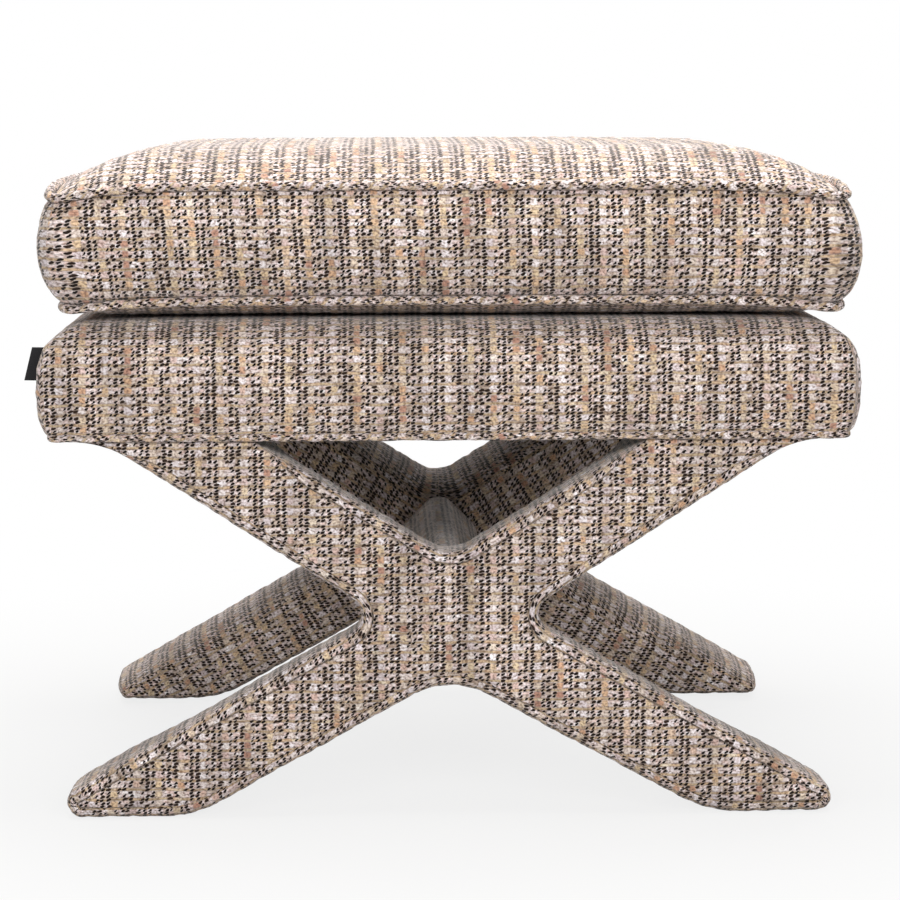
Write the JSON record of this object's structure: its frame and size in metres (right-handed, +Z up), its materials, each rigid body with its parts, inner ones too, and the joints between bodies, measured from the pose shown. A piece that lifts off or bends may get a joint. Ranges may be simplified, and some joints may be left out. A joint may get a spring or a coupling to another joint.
{
  "type": "upholstered ottoman",
  "caption": "Tweed-upholstered ottoman: a loose piped box cushion on a padded platform carried by a front and a rear padded X frame with a stretcher between them.",
  "frame": {"origin": "on the floor under the middle of the ottoman", "axes": "X across its width to the right, Y from front to rear (the front faces -Y), Z up"},
  "size_m": [0.589, 0.4617, 0.488],
  "materials": {
    "tweed": "matte",
    "timber": "matte",
    "plywood": "matte",
    "foam": "matte",
    "fibre": "matte",
    "steel": "satin",
    "brass": "satin",
    "glide_plastic": "matte",
    "dust_cloth": "matte",
    "tab_webbing": "matte",
    "zip_tape": "matte",
    "zip_coil": "satin",
    "slider_metal": "satin"
  },
  "bodies": {
    "base": {"front_x_cover": "tweed", "rear_x_cover": "tweed", "stretcher_cover": "tweed", "platform_cover": "tweed", "platform_piping": "tweed", "front_rising_beam": "timber", "front_falling_beam": "timber", "rear_rising_beam": "timber", "rear_falling_beam": "timber", "stretcher_core": "timber", "front_rail": "timber", "rear_rail": "timber", "left_rail": "timber", "right_rail": "timber", "front_batten": "timber", "rear_batten": "timber", "corner_blocks": "timber", "front_x_padding": "foam", "rear_x_padding": "foam", "stretcher_padding": "foam", "deck_foam": "foam", "rail_wadding": "fibre", "stretcher_bolts": "steel", "stretcher_washers": "steel", "stretcher_nuts": "steel", "arm_bolts": "steel", "arm_washers": "steel", "glide_nails": "steel", "front_left_glide": "glide_plastic", "front_right_glide": "glide_plastic", "rear_left_glide": "glide_plastic", "rear_right_glide": "glide_plastic", "deck_board": "plywood", "arm_inserts": "brass", "dust_cover": "dust_cloth", "side_tab": "tab_webbing"},
    "cushion": {"cushion_foam": "foam", "cushion_wrap": "fibre", "cushion_top_panel": "tweed", "cushion_boxing": "tweed", "cushion_bottom_panel": "tweed", "cushion_top_piping": "tweed", "cushion_bottom_piping": "tweed", "zip_tapes": "zip_tape", "zip_coil": "zip_coil"},
    "zip_slider": {"zip_slider": "slider_metal"}
  },
  "joints": [
    {"name": "cushion_lift", "type": "slide", "parent": "base", "child": "cushion", "axis": [0, 0, 1], "range_m": [0, 0.2]},
    {"name": "zip_slide", "type": "slide", "parent": "cushion", "child": "zip_slider", "axis": [-1, 0, 0], "range_m": [0, 0.388]}
  ]
}
